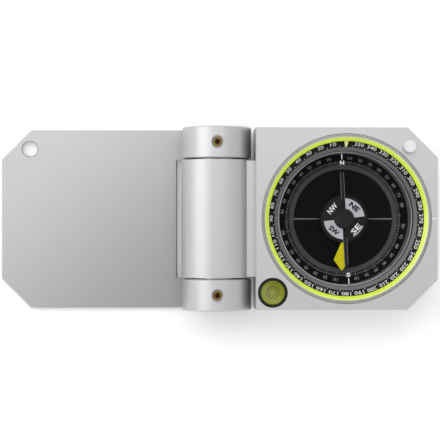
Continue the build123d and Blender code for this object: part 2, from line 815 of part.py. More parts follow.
with BuildPart() as lift_button:
    with BuildSketch(button_plane(button_head_low)):
        Circle(button_radius)
    extrude(amount=case_height + button_proud - button_head_low)
    chamfer(lift_button.faces().sort_by(Axis.Z)[-1].edges(), edge_break)
    with BuildSketch(button_plane(stem_low)):
        Circle(stem_radius)
    extrude(amount=button_head_low - stem_low)
    with BuildSketch(button_plane(clip_low - fixed_fit)):
        Circle(button_radius)
        Circle(stem_radius - clip_groove, mode=Mode.SUBTRACT)
    extrude(amount=clip_thickness + 2 * fixed_fit, mode=Mode.SUBTRACT)
lift_button.part.label = "lift_button"
export_step(lift_button.part, "parts/lift_button.step")

with BuildPart() as button_clip:
    with BuildSketch(button_plane(clip_low)):
        Circle(clip_radius)
        Circle(stem_radius - clip_groove + fixed_fit, mode=Mode.SUBTRACT)
        clip_mouth = 2 * (stem_radius - clip_groove)
        Rectangle(clip_radius, clip_mouth, align=(Align.MIN, Align.CENTER), mode=Mode.SUBTRACT)
    extrude(amount=clip_thickness)
button_clip.part.label = "button_clip"
export_step(button_clip.part, "parts/button_clip.step")

with BuildPart() as button_spring:
    coil_radius = (button_radius + stem_radius) / 2
    coil_low = spring_floor + spring_wire + running_fit
    coil_height = button_head_low - spring_wire - running_fit - coil_low
    coil_centre = (button_x, button_y, coil_low)
    coil_start = (button_x + coil_radius, button_y, coil_low)
    with BuildLine():
        Helix(pitch=coil_height / spring_turns, height=coil_height, radius=coil_radius, center=coil_centre)
    with BuildSketch(Plane(coil_start, x_dir=(1, 0, 0), z_dir=(0, 1, 0))):
        Circle(spring_wire)
    sweep()
button_spring.part.label = "button_spring"
export_step(button_spring.part, "parts/button_spring.step")

# ================================================================ round level
def level_plane(height):
    """Level plane whose origin is on the round level's axis."""
    return Plane((level_x, level_y, height))


with BuildPart() as level_cup:
    with BuildSketch(level_plane(level_bottom + fixed_fit)):
        Circle(level_radius)
    extrude(amount=level_depth - fixed_fit)
    chamfer(level_cup.faces().sort_by(Axis.Z)[-1].edges(), edge_break / 2)
    with BuildSketch(level_plane(level_inside)):
        Circle(vial_radius + fixed_fit)
    extrude(amount=level_depth, mode=Mode.SUBTRACT)
level_cup.part.label = "level_cup"
export_step(level_cup.part, "parts/level_cup.step")

with BuildPart() as level_base:
    with BuildSketch(level_plane(level_inside)):
        Circle(vial_radius)
    extrude(amount=level_base_thickness)
level_base.part.label = "level_base"
export_step(level_base.part, "parts/level_base.step")

with BuildPart() as level_vial:
    with BuildSketch(level_plane(vial_bottom)):
        Circle(vial_radius)
    extrude(amount=vial_top - vial_bottom)
    chamfer(level_vial.faces().sort_by(Axis.Z)[-1].edges(), edge_break / 2)
    with BuildSketch(level_plane(vial_bottom)):
        Circle(vial_radius - vial_wall)
    extrude(amount=vial_top - vial_roof - vial_bottom, mode=Mode.SUBTRACT)
level_vial.part.label = "level_vial"
export_step(level_vial.part, "parts/level_vial.step")

with BuildPart() as level_fluid:
    with BuildSketch(level_plane(vial_bottom)):
        Circle(vial_radius - vial_wall - fixed_fit)
    extrude(amount=vial_top - vial_roof - vial_bottom - fixed_fit)
level_fluid.part.label = "level_fluid"
export_step(level_fluid.part, "parts/level_fluid.step")
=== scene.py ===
# %% [markdown]
# A folding pocket transit compass, lid opened flat. The machined pieces come ready made from the
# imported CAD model: here they get their finishes, and the printing, the level's bubble and the
# studio are added. Everything is in metres, X across the hinge, Y along it, Z up.

# %% Load the machined pieces
import json

import bmesh
import bpy
import numpy as np
from mathutils import Matrix, Vector


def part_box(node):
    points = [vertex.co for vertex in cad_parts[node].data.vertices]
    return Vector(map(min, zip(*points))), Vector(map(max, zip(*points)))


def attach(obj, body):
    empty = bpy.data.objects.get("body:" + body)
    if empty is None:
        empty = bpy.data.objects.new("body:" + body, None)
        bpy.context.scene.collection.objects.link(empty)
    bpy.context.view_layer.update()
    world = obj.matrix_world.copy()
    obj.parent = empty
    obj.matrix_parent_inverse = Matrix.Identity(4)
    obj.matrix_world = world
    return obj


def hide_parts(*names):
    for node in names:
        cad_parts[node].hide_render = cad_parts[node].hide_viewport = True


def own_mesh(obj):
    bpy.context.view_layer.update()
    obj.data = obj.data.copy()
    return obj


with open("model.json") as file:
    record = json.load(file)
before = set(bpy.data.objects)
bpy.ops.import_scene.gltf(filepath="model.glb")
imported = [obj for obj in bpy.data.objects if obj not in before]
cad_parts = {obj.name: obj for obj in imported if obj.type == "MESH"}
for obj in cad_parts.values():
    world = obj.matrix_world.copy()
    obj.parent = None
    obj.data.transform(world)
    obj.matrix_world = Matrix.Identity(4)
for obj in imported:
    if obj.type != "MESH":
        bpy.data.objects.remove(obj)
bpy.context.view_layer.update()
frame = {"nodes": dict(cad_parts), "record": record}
nodes = frame["nodes"]
MM = 0.001

# %% [markdown]
# The camera hangs above the compass with a long lens, a little to the lid's side of the middle,
# so upright walls hardly show, and the dial's sunken wall shows only on its far side.

# %% Camera
camera_data = bpy.data.cameras.new("overhead_camera")
camera_data.lens = 132.2
camera_data.sensor_width = 36.0
camera_data.clip_start = 0.01
camera = bpy.data.objects.new("overhead_camera", camera_data)
camera.location = (-12.9 * MM, -4.5 * MM, 696.9 * MM)
looked_at = Vector((1.32 * MM, -0.53 * MM, 14.0 * MM))
back = (camera.location - looked_at).normalized()
right = Vector((0.0, 1.0, 0.0)).cross(back).normalized()
camera.rotation_euler = Matrix((right, back.cross(right), back)).transposed().to_euler()
bpy.context.scene.collection.objects.link(camera)
bpy.context.scene.camera = camera
bpy.context.scene.view_settings.view_transform = "Standard"
print("camera height:", camera.location.z)

# %% [markdown]
# Bare metal shows mostly what it mirrors, so the light tent matters more than any lamp. The world
# is a pale tent with a small dark opening beside the camera: the flat crystal mirrors only that
# opening and stays clear, while the blasted metal spreads its mirror image so wide that the
# opening hardly counts. One large soft lamp on the left gives round forms a side.


# %% Light tent with an opening, and the lamps
def map_range(tree, value, low, high, to_low, to_high):
    """to_low below low, to_high above high, and a smooth step from one to the other between."""
    node = tree.nodes.new("ShaderNodeMapRange")
    node.interpolation_type = "SMOOTHSTEP"
    for socket, number in zip(node.inputs[1:5], (low, high, to_low, to_high)):
        socket.default_value = number
    tree.links.new(value, node.inputs[0])
    return node.outputs[0]


TENT_STRENGTH = 0.8
OPENING_STRENGTH = 0.03
OPENING_TOWARDS = (0.0982, 0.0067, 0.9951)
world = bpy.data.worlds.new("light_tent")
bpy.context.scene.world = world
world.use_nodes = True
tent = world.node_tree
direction = tent.nodes.new("ShaderNodeTexCoord").outputs["Generated"]
nearness = tent.nodes.new("ShaderNodeVectorMath")
nearness.operation = "DOT_PRODUCT"
nearness.inputs[1].default_value = OPENING_TOWARDS
tent.links.new(direction, nearness.inputs[0])
glow = map_range(tent, nearness.outputs["Value"], 0.9977, 0.9984, TENT_STRENGTH, OPENING_STRENGTH)
tent.nodes["Background"].inputs["Color"].default_value = (1.0, 1.0, 1.0, 1.0)
tent.links.new(glow, tent.nodes["Background"].inputs["Strength"])


def soft_lamp(name, place, size, power):
    """A square lamp at a place, turned to face the middle of the compass."""
    data = bpy.data.lights.new(name, "AREA")
    data.size = size
    data.energy = power
    lamp = bpy.data.objects.new(name, data)
    lamp.location = place
    away = lamp.location.normalized()
    lamp.rotation_euler = away.to_track_quat("Z", "Y").to_euler()
    bpy.context.scene.collection.objects.link(lamp)
    return lamp


soft_lamp("left_lamp", (-0.8, 0.35, 0.75), 0.9, 4.2)
soft_lamp("far_lamp", (0.1, 0.42, 0.75), 0.5, 1.3)

# %% [markdown]
# The table is one flat sheet. It glows a little by itself, as a lit-through table does, so that
# it stays white close to the compass and only the tightest gaps hold a shadow.


# %% Table
def new_mesh(name, points, faces):
    """A mesh object from corner points and faces, at the origin."""
    mesh = bpy.data.meshes.new(name)
    mesh.from_pydata(np.asarray(points).tolist(), [], [list(face) for face in faces])
    mesh.validate()
    piece = bpy.data.objects.new(name, mesh)
    bpy.context.scene.collection.objects.link(piece)
    return piece


TABLE_HALF = 1.5
corners = np.array([(-1, -1), (1, -1), (1, 1), (-1, 1)]) * TABLE_HALF
table = new_mesh("table", np.column_stack([corners, np.full(4, -0.02 * MM)]), [(0, 1, 2, 3)])

# %% [markdown]
# Every finish is built the same way: a shader whose fixed numbers are set on its own sockets,
# a fine grain for the bump, and a slow mottle that shifts colour and roughness a little, because
# no real surface is one flat value. Coordinates are the object's, so patterns stay on the piece.


# %% A finish: grain, mottle and shader
def new_finish(name):
    """An empty material with a Principled shader, and the places of its points."""
    material = bpy.data.materials.new(name)
    material.use_nodes = True
    tree = material.node_tree
    shader = tree.nodes["Principled BSDF"]
    place = tree.nodes.new("ShaderNodeTexCoord").outputs["Object"]
    return material, tree, shader, place


def noise(tree, place, scale, detail=3.0, roughness=0.55):
    """Soft random pattern with this many bumps to the metre."""
    node = tree.nodes.new("ShaderNodeTexNoise")
    node.inputs["Scale"].default_value = scale
    node.inputs["Detail"].default_value = detail
    node.inputs["Roughness"].default_value = roughness
    tree.links.new(place, node.inputs["Vector"])
    return node.outputs["Fac"]


def blend_colour(tree, share, first, second):
    """first where share is 0, second where it is 1."""
    node = tree.nodes.new("ShaderNodeMix")
    node.data_type = "RGBA"
    for socket, colour in ((node.inputs[6], first), (node.inputs[7], second)):
        if isinstance(colour, tuple):
            socket.default_value = (*colour, 1.0)
        else:
            tree.links.new(colour, socket)
    tree.links.new(share, node.inputs[0])
    return node.outputs[2]


def bump(tree, height, depth, strength=1.0, under=None):
    """Turns a height pattern, where 1 stands depth metres proud, into a tilt of the surface."""
    node = tree.nodes.new("ShaderNodeBump")
    node.inputs["Distance"].default_value = depth
    node.inputs["Strength"].default_value = strength
    tree.links.new(height, node.inputs["Height"])
    if under is not None:
        tree.links.new(under, node.inputs["Normal"])
    return node.outputs["Normal"]


def shifted(colour, amount):
    """The colour made lighter by a share of itself."""
    return tuple(min(1.0, channel * (1 + amount)) for channel in colour)


def plain_finish(name, colour, metallic, roughness, grain=0.12, depth=0.006, mottle=0.05, **fixed):
    """A finish with a grain of that size in millimetres, that deep; its tone and gloss wander by mottle."""
    material, tree, shader, place = new_finish(name)
    shader.inputs["Metallic"].default_value = metallic
    for socket, value in fixed.items():
        shader.inputs[socket.replace("_", " ")].default_value = value
    slow = noise(tree, place, 1 / (6 * MM))
    fine = noise(tree, place, 1 / (grain * MM), detail=2.0)
    tone = blend_colour(tree, slow, shifted(colour, -mottle), shifted(colour, mottle))
    tree.links.new(tone, shader.inputs["Base Color"])
    gloss = map_range(tree, slow, 0.3, 0.7, roughness * (1 - mottle), roughness * (1 + mottle))
    tree.links.new(gloss, shader.inputs["Roughness"])
    tree.links.new(bump(tree, fine, depth * MM), shader.inputs["Normal"])
    return material


table.data.materials.append(plain_finish("table_white", (0.95, 0.95, 0.95), 0.0, 0.6, mottle=0.01))
table_shader = table.data.materials[0].node_tree.nodes["Principled BSDF"]
table_shader.inputs["Emission Color"].default_value = (1, 1, 1, 1)
table_shader.inputs["Emission Strength"].default_value = 0.12
print("table finish:", table.data.materials[0].name)

# %% [markdown]
# The case and lid are milled from aluminium, blasted with beads to a fine even grain and then
# anodised clear. The grain is a tenth of a millimetre: it is a bump, too fine to model. The lid's
# plate darkens a little towards its corner by the hinge: that is painted shade in its colour.

# %% Blasted aluminium
finishes = {}
finishes["silver_case"] = plain_finish(
    "case_aluminium", (0.57, 0.565, 0.56), 1.0, 0.44, depth=0.004, mottle=0.012
)
finishes["silver_cover"] = plain_finish(
    "cover_aluminium", (0.64, 0.64, 0.64), 1.0, 0.40, depth=0.004, mottle=0.02
)

# Painted shade: the lid plate's colour darkens towards its corner by the hinge.
PLATE_TOP = 3.2 * MM
lid_light = (0.58, 0.575, 0.58)
lid_painted_shade_tone = (0.36, 0.36, 0.365)
lid_finish = plain_finish("lid_aluminium", lid_light, 1.0, 0.44, depth=0.004, mottle=0.012)
lid_tree = lid_finish.node_tree
lid_place = next(n for n in lid_tree.nodes if n.type == "TEX_COORD").outputs["Object"]
along = lid_tree.nodes.new("ShaderNodeVectorMath")
along.operation = "DOT_PRODUCT"
along.inputs[1].default_value = (0.75, -0.66, 0.0)
lid_tree.links.new(lid_place, along.inputs[0])
height = lid_tree.nodes.new("ShaderNodeSeparateXYZ")
lid_tree.links.new(lid_place, height.inputs[0])
painted_shade_fade = map_range(lid_tree, along.outputs["Value"], -0.085, 0.02, 0.0, 1.0)
on_plate = map_range(lid_tree, height.outputs["Z"], PLATE_TOP, PLATE_TOP + 0.1 * MM, 1.0, 0.0)
share = lid_tree.nodes.new("ShaderNodeMath")
share.operation = "MULTIPLY"
lid_tree.links.new(painted_shade_fade, share.inputs[0])
lid_tree.links.new(on_plate, share.inputs[1])
lid_shader = lid_tree.nodes["Principled BSDF"]
even_tone = lid_shader.inputs["Base Color"].links[0].from_socket
lid_tree.links.new(
    blend_colour(lid_tree, share.outputs[0], even_tone, lid_painted_shade_tone), lid_shader.inputs["Base Color"]
)
finishes["silver_lid"] = lid_finish
print("blasted finishes:", len(finishes))

# %% [markdown]
# Turned pieces keep the fine rings that the lathe tool left. They are waves of the distance from
# the piece's own axis, so each finish is told where that axis stands and which way it points.


# %% Turned metal
def middle_of(node):
    """Middle of a machined piece's box."""
    low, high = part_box(node)
    return (low + high) / 2


def turned_finish(name, colour, roughness, node, pitch, depth=0.002, axis="Z"):
    """Metal with lathe rings of that pitch, in millimetres, about a piece's upright or lying axis."""
    material = plain_finish(name, colour, 1.0, roughness, depth=depth)
    tree = material.node_tree
    place = next(n for n in tree.nodes if n.type == "TEX_COORD").outputs["Object"]
    centred = tree.nodes.new("ShaderNodeMapping")
    centred.inputs["Location"].default_value = -middle_of(node)
    tree.links.new(place, centred.inputs["Vector"])
    rings = tree.nodes.new("ShaderNodeTexWave")
    rings.wave_type = "RINGS"
    rings.rings_direction = axis
    rings.inputs["Scale"].default_value = 0.314 / (pitch * MM)
    rings.inputs["Distortion"].default_value = 0.4
    tree.links.new(centred.outputs[0], rings.inputs["Vector"])
    shader = tree.nodes["Principled BSDF"]
    grain = shader.inputs["Normal"].links[0].from_socket
    ringed = bump(tree, rings.outputs["Fac"], depth * MM, 0.6, under=grain)
    tree.links.new(ringed, shader.inputs["Normal"])
    return material


def distance_from(tree, place, centre):
    """How far a place is from an upright axis: the length of (x - centre x, y - centre y, 0)."""
    flat = tree.nodes.new("ShaderNodeVectorMath")
    flat.operation = "MULTIPLY_ADD"
    flat.inputs[1].default_value = (1.0, 1.0, 0.0)
    flat.inputs[2].default_value = (-centre[0], -centre[1], 0.0)
    tree.links.new(place, flat.inputs[0])
    reach = tree.nodes.new("ShaderNodeVectorMath")
    reach.operation = "LENGTH"
    tree.links.new(flat.outputs[0], reach.inputs[0])
    return reach.outputs["Value"]


BRASS = (0.62, 0.42, 0.18)
STEEL = (0.56, 0.56, 0.57)
finishes["silver_bezel"] = turned_finish(
    "bezel_turned", (0.56, 0.56, 0.56), 0.26, "bezel_ring", 0.12, depth=0.0006
)
finishes["button_steel"] = turned_finish("button_turned", (0.80, 0.80, 0.79), 0.30, "lift_button", 0.15)
finishes["brass_screw"] = turned_finish("screw_brass", (0.30, 0.20, 0.075), 0.38, "tension_screws", 0.2)
finishes["jewel_brass"] = turned_finish("jewel_brass", BRASS, 0.25, "jewel_cup", 0.15)
finishes["sleeve_brass"] = turned_finish("sleeve_brass", BRASS, 0.25, "lift_sleeve", 0.15)
finishes["bronze_bush"] = plain_finish(
    "bush_bronze", (0.50, 0.33, 0.17), 1.0, 0.45, grain=0.2, depth=0.01
)
finishes["steel"] = turned_finish("ground_steel", STEEL, 0.26, "hinge_axle", 0.12, axis="Y")
finishes["screw_steel"] = turned_finish("screw_steel", STEEL, 0.30, "cover_screws", 0.12)
finishes["spring_steel"] = plain_finish("spring_steel", (0.42, 0.42, 0.44), 1.0, 0.32, mottle=0.08)
finishes["lever_steel"] = plain_finish("lever_sheet", STEEL, 1.0, 0.38, mottle=0.08)
finishes["magnet_nickel"] = plain_finish("magnet_nickel", (0.62, 0.61, 0.58), 1.0, 0.12, depth=0.001)
print("metal finishes:", len(finishes))

# %% [markdown]
# The two brass set screws get painted shade in their hex sockets: their tone darkens towards the
# axis. They stand at equal distances on both sides of the hinge's middle, so the absolute value
# of a place folds both onto one.

# %% Painted shade in the set screws' sockets
# Painted shade: the brass darkens towards each screw's axis, over its socket.
SOCKET_SHADE_START, SOCKET_SHADE_END = 0.7 * MM, 1.7 * MM
SOCKET_SHADE_TONE = (0.035, 0.022, 0.010)
brass_tree = finishes["brass_screw"].node_tree
brass_place = next(n for n in brass_tree.nodes if n.type == "TEX_COORD").outputs["Object"]
both_ends = brass_tree.nodes.new("ShaderNodeVectorMath")
both_ends.operation = "ABSOLUTE"
brass_tree.links.new(brass_place, both_ends.inputs[0])
screw_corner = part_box("tension_screws")[1]
screw_centre = (0.0, screw_corner.y - screw_corner.x)
out = distance_from(brass_tree, both_ends.outputs[0], screw_centre)
unshaded_share = map_range(brass_tree, out, SOCKET_SHADE_START, SOCKET_SHADE_END, 0.0, 1.0)
brass_shader = brass_tree.nodes["Principled BSDF"]
unshaded_brass = brass_shader.inputs["Base Color"].links[0].from_socket
socket_shaded_tone = blend_colour(brass_tree, unshaded_share, SOCKET_SHADE_TONE, unshaded_brass)
brass_tree.links.new(socket_shaded_tone, brass_shader.inputs["Base Color"])
print("set screws' middle in mm:", round(screw_centre[1] / MM, 2))

# %% [markdown]
# Black anodising drinks nearly all light, so its gloss has to be low or the tent would grey it.
# The grey ring and the degree band are the same finish with less dye.

# %% Dark finishes
finishes["black_scale"] = plain_finish(
    "scale_black", (0.006, 0.006, 0.007), 0.0, 0.42, Specular_IOR_Level=0.16
)
finishes["black_dial"] = plain_finish(
    "dial_black", (0.0022, 0.002, 0.0022), 0.0, 0.5, depth=0.001, Specular_IOR_Level=0.06
)
finishes["grey_ring"] = plain_finish(
    "damping_grey", (0.052, 0.052, 0.056), 0.1, 0.42, Specular_IOR_Level=0.3
)
finishes["blade_black"] = plain_finish(
    "blade_black", (0.008, 0.008, 0.009), 0.0, 0.4, Specular_IOR_Level=0.15
)
finishes["disc_black"] = plain_finish(
    "disc_black", (0.006, 0.006, 0.007), 0.0, 0.45, Specular_IOR_Level=0.15
)
finishes["hub_grey"] = plain_finish("hub_grey", (0.010, 0.011, 0.013), 0.0, 0.4, Specular_IOR_Level=0.2)
finishes["black_cup"] = plain_finish(
    "cup_black", (0.006, 0.006, 0.006), 0.0, 0.35, Specular_IOR_Level=0.25
)
finishes["window_ring"] = plain_finish("window_ring_black", (0.02, 0.02, 0.02), 0.4, 0.35)
finishes["gasket_rubber"] = plain_finish(
    "gasket_rubber", (0.02, 0.02, 0.02), 0.0, 0.75, grain=0.3, depth=0.02
)
finishes["quadrant_card"] = plain_finish(
    "card_black", (0.006, 0.006, 0.007), 0.0, 0.35, Specular_IOR_Level=0.2
)
print("finishes so far:", len(finishes))

# %% [markdown]
# The colour ring and the arrow are a fluorescent yellow: the ring is a glossy moulding with faint
# swirls, paler towards its rim by a painted highlight, and the arrow is a thick satin paint. The
# glide ring is white bearing plastic.

# %% Yellow, white and plastic
finishes["yellow_ring"] = plain_finish(
    "ring_yellow", (0.60, 0.74, 0.02), 0.0, 0.28, grain=0.5, depth=0.01, mottle=0.10,
    Coat_Weight=0.6, Coat_Roughness=0.12
)
yellow_tree = finishes["yellow_ring"].node_tree
yellow_place = next(n for n in yellow_tree.nodes if n.type == "TEX_COORD").outputs["Object"]
ring_middle = middle_of("colour_ring")
reach = distance_from(yellow_tree, yellow_place, ring_middle)
# Painted highlight: the ring's colour pales towards its outer rim, all round.
PAINTED_HIGHLIGHT_WIDTH = 0.9 * MM
ring_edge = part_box("colour_ring")[1].x - ring_middle.x
painted_highlight_share = map_range(yellow_tree, reach, ring_edge - PAINTED_HIGHLIGHT_WIDTH, ring_edge, 0.0, 0.55)
yellow_shader = yellow_tree.nodes["Principled BSDF"]
deep_yellow = yellow_shader.inputs["Base Color"].links[0].from_socket
yellow_tree.links.new(
    blend_colour(yellow_tree, painted_highlight_share, deep_yellow, (0.80, 0.86, 0.42)),
    yellow_shader.inputs["Base Color"]
)
finishes["yellow_paint"] = plain_finish(
    "arrow_yellow", (0.60, 0.53, 0.0), 0.0, 0.45, grain=0.25, depth=0.01, mottle=0.06,
    Specular_IOR_Level=0.2
)
finishes["acetal"] = plain_finish(
    "bearing_white", (0.72, 0.72, 0.69), 0.0, 0.45, mottle=0.02, Subsurface_Weight=0.1
)
finishes["dip_dial"] = plain_finish("dip_dial_white", (0.70, 0.70, 0.66), 0.0, 0.5, mottle=0.02)
# The level's backing glows by itself: painted light, which keeps it bright under the tinted vial and fluid.
finishes["level_green"] = plain_finish(
    "level_backing", (0.52, 0.54, 0.07), 0.0, 0.5, mottle=0.05,
    Emission_Color=(0.40, 0.41, 0.04, 1.0), Emission_Strength=0.26
)
print("finishes so far:", len(finishes))

# %% [markdown]
# Clear pieces bend light by glass, but light that only passes through them to what lies below
# would be lost as shadow. So each is mixed with a see-through shader that shadow rays take.


# %% Clear pieces
def clear_finish(name, tint, index, roughness=0.0):
    """Glass of that tint and bending power, which lets shadow rays pass."""
    material, tree, shader, place = new_finish(name)
    shader.inputs["Transmission Weight"].default_value = 1.0
    shader.inputs["IOR"].default_value = index
    shader.inputs["Base Color"].default_value = (*tint, 1.0)
    shader.inputs["Roughness"].default_value = roughness
    waves = noise(tree, place, 1 / (9 * MM), detail=1.0)
    tree.links.new(bump(tree, waves, 0.002 * MM, 0.5), shader.inputs["Normal"])
    open_shader = tree.nodes.new("ShaderNodeBsdfTransparent")
    open_shader.inputs["Color"].default_value = (*tint, 1.0)
    either = tree.nodes.new("ShaderNodeMixShader")
    ray = tree.nodes.new("ShaderNodeLightPath")
    tree.links.new(ray.outputs["Is Shadow Ray"], either.inputs[0])
    tree.links.new(shader.outputs[0], either.inputs[1])
    tree.links.new(open_shader.outputs[0], either.inputs[2])
    tree.links.new(either.outputs[0], tree.nodes["Material Output"].inputs["Surface"])
    return material


finishes["crystal"] = clear_finish("crystal_glass", (0.97, 0.975, 0.98), 1.46)
finishes["clear_window"] = clear_finish("window_glass", (0.97, 0.98, 0.98), 1.46)
finishes["level_clear"] = clear_finish("vial_clear", (0.95, 0.97, 0.84), 1.49)
finishes["level_fluid"] = clear_finish("vial_fluid", (0.93, 0.96, 0.66), 1.36)
print("finishes in all:", len(finishes))

# %% [markdown]
# Each machined piece already names its finish in the model's own list, so handing them out is a
# matter of reading that list.

# %% Hand out the finishes
slot_of = {row["node"]: row["material_slot"] for row in frame["record"]["subparts"]}
for name, piece in nodes.items():
    piece.data.materials.clear()
    piece.data.materials.append(finishes[slot_of[name]])
print("pieces finished:", len(nodes), "unused finishes:", sorted(set(finishes) - set(slot_of.values())))

# %% [markdown]
# The printing has to sit on turned faces, flat or sloping. A turned piece's corners give its
# profile, as pairs of radius and height about the dial's axis, so the printing needs no measure
# of its own: it takes the faces' edges from the model.


# %% Profiles of the turned pieces
DIAL = middle_of("crystal")


def turned_profile(node):
    """Each radius and height at which a turned piece has corners, once, as a row of an array."""
    points = np.array([v.co for v in nodes[node].data.vertices])
    radius = np.hypot(points[:, 0] - DIAL.x, points[:, 1] - DIAL.y)
    return np.unique(np.round(np.column_stack([radius, points[:, 2]]), 5), axis=0)


HAIR = 0.02 * MM
profile = turned_profile("azimuth_ring")
outer = profile[profile[:, 1].argmax()]
innermost = profile[profile[:, 0] < profile[:, 0].min() + HAIR]
step_end = innermost[innermost[:, 1].argmax()]
on_slopes = (profile[:, 1] > step_end[1]) & (profile[:, 1] < outer[1]) & (profile[:, 0] < outer[0] - HAIR)
fall = (outer[1] - step_end[1]) / (outer[0] - step_end[0])
sag = (outer[1] - profile[:, 1]) - fall * (outer[0] - profile[:, 0])
inner = profile[np.where(on_slopes, sag, -1).argmax()]
print("slopes from, to, to:", (outer / MM).round(2), (inner / MM).round(2), (step_end / MM).round(2))

# %% [markdown]
# A print is a film a few hundredths of a millimetre thick. It is drawn flat, with u across and v
# up, and then laid on its face by one formula: v runs along the slope of the face, away from the
# dial's axis, u runs round the axis, and w stands off the face.


# %% Lay a flat print on a turned face
INK = 0.03 * MM


def laid_round(drawn, bearing, radius, height, slope=0.0):
    """Flat points (u, v, w) wrapped about the dial's axis, v = 0 at that radius, height and bearing.

    With s the slope: r = radius + v cos s - w sin s, z = height + v sin s + w cos s, and the
    angle is the bearing less u / radius, so that a word reads clockwise with its tops outward.
    """
    u, v, w = drawn.T
    out = radius + v * np.cos(slope) - w * np.sin(slope)
    up = height + v * np.sin(slope) + w * np.cos(slope)
    angle = np.radians(bearing) - u / radius
    return np.column_stack([DIAL.x + out * np.cos(angle), DIAL.y + out * np.sin(angle), up])


def laid_flat(drawn, middle, height, turn=0.0):
    """Flat points turned by that many degrees and moved to a middle, with w upward from height."""
    u, v, w = drawn.T
    c, s = np.cos(np.radians(turn)), np.sin(np.radians(turn))
    return np.column_stack([middle[0] + u * c - v * s, middle[1] + u * s + v * c, height + w])


def bar(width, length, low=0.0, high=None, taper=1.0, steps=1):
    """A flat bar about (0, 0): v runs from end to end in steps, its far end as wide as taper says."""
    high = low + INK if high is None else high
    v = np.linspace(-length / 2, length / 2, steps + 1)
    half = width / 2 * np.linspace(1.0, taper, steps + 1)
    rows = [
        np.column_stack([side * half, v, np.full(steps + 1, w)]) for side,
        w in ((-1, low), (1, low), (1, high), (-1, high))
    ]
    points = np.stack(rows, axis=1).reshape(-1, 3)
    faces = [
        (4 * i + j, 4 * i + 4 + j, 4 * i + 4 + (j + 1) % 4, 4 * i + (j + 1) % 4)
        for i in range(steps)
        for j in range(4)
    ]
    faces += [(0, 1, 2, 3), (4 * steps + 3, 4 * steps + 2, 4 * steps + 1, 4 * steps)]
    return points, faces


def gathered(shapes):
    """One set of points and faces from several."""
    points, faces, start = [], [], 0
    for shape_points, shape_faces in shapes:
        points.append(shape_points)
        faces += [tuple(start + i for i in face) for face in shape_faces]
        start += len(shape_points)
    return np.vstack(points), faces


def add_print(name, shapes, body, finish):
    """A finished print: its shapes in one mesh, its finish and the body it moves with."""
    points, faces = gathered(shapes)
    piece = new_mesh(name, points, faces)
    piece.data.materials.append(finish)
    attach(piece, body)
    print(name, len(faces), "faces")
    return piece


# %% [markdown]
# Figures start as the text tool's own letters. Each is made a mesh once, measured, and stretched
# to the height and width that the dial has, because printed dials use narrow figures.

# %% Letters as arrays
letter_store = {}


def letters(text, height, width, bold=0.0):
    """Points and faces of a word, centred on (0, 0), exactly that high and wide, one film thick."""
    if (text, bold) not in letter_store:
        curve = bpy.data.curves.new("letters", "FONT")
        curve.body = text
        curve.extrude = 0.01
        curve.offset = bold
        curve.resolution_u = 2
        drawn = bpy.data.objects.new("letters", curve)
        bpy.context.scene.collection.objects.link(drawn)
        bpy.context.view_layer.update()
        mesh = bpy.data.meshes.new_from_object(drawn.evaluated_get(bpy.context.evaluated_depsgraph_get()))
        joined = bmesh.new()
        joined.from_mesh(mesh)
        bmesh.ops.remove_doubles(joined, verts=joined.verts, dist=1e-5)
        bmesh.ops.recalc_face_normals(joined, faces=joined.faces)
        joined.to_mesh(mesh)
        joined.free()
        points = np.zeros(len(mesh.vertices) * 3)
        mesh.vertices.foreach_get("co", points)
        letter_store[text, bold] = points.reshape(-1, 3), [tuple(face.vertices) for face in mesh.polygons]
        bpy.data.objects.remove(drawn)
        bpy.data.curves.remove(curve)
        bpy.data.meshes.remove(mesh)
    points, faces = letter_store[text, bold]
    low, high = points.min(0), points.max(0)
    size = np.array([width, height, INK]) / (high - low)
    return (points - (low + high) / 2) * size + np.array([0, 0, INK / 2]), faces


def upright_film(name, tone, roughness=0.5, **fixed):
    """Printing ink: an even tone, a little thinner in places."""
    return plain_finish(name, tone, 0.0, roughness, grain=0.2, depth=0.004, mottle=0.10, **fixed)


white_ink = upright_film("ink_white", (0.62, 0.63, 0.60))
bright_ink = upright_film("ink_bright", (0.86, 0.86, 0.84))
grey_ink = upright_film("ink_grey", (0.27, 0.27, 0.275))
line_ink = upright_film("ink_line", (0.20, 0.20, 0.205))
black_ink = upright_film("ink_black", (0.008, 0.008, 0.009), Specular_IOR_Level=0.2)
cream_ink = upright_film("ink_cream", (0.74, 0.74, 0.30))
silver_ink = plain_finish("ink_silver", (0.50, 0.50, 0.52), 0.75, 0.42, mottle=0.04)
print("inks ready")

# %% [markdown]
# The turning ring carries the bearings: a figure every ten degrees, running anticlockwise, on the
# black slope, with a short tick between figures, and a tick for every degree on the grey step
# inside it. A cream wedge takes the place of the nought.

# %% Bearings on the turning ring
band_run, band_fall = outer[0] - inner[0], outer[1] - inner[1]
band_slope = np.arctan2(band_fall, band_run)
band_length = np.hypot(band_run, band_fall)
band_middle = ((outer[0] + inner[0]) / 2, (outer[1] + inner[1]) / 2)
FIGURE_HEIGHT, FIGURE_WIDTH, FIGURE_PITCH = 0.62 * band_length, 1.15 * MM, 1.42 * MM
NOUGHT = 90.0


def on_band(shape, bearing, shift=0.0):
    """A flat shape on the black slope, moved out along the slope by shift."""
    points, faces = shape
    moved = points + np.array([0, shift, 0])
    return laid_round(moved, bearing, *band_middle, band_slope), faces


figures = []
for degrees in range(10, 360, 10):
    text = str(degrees)
    wide = FIGURE_WIDTH * len(text) + (FIGURE_PITCH - FIGURE_WIDTH) * (len(text) - 1)
    figures.append(
        on_band(letters(text, FIGURE_HEIGHT, wide, 0.012), NOUGHT + degrees, 0.08 * band_length)
    )
add_print("bearing_figures", figures, "azimuth_ring", white_ink)

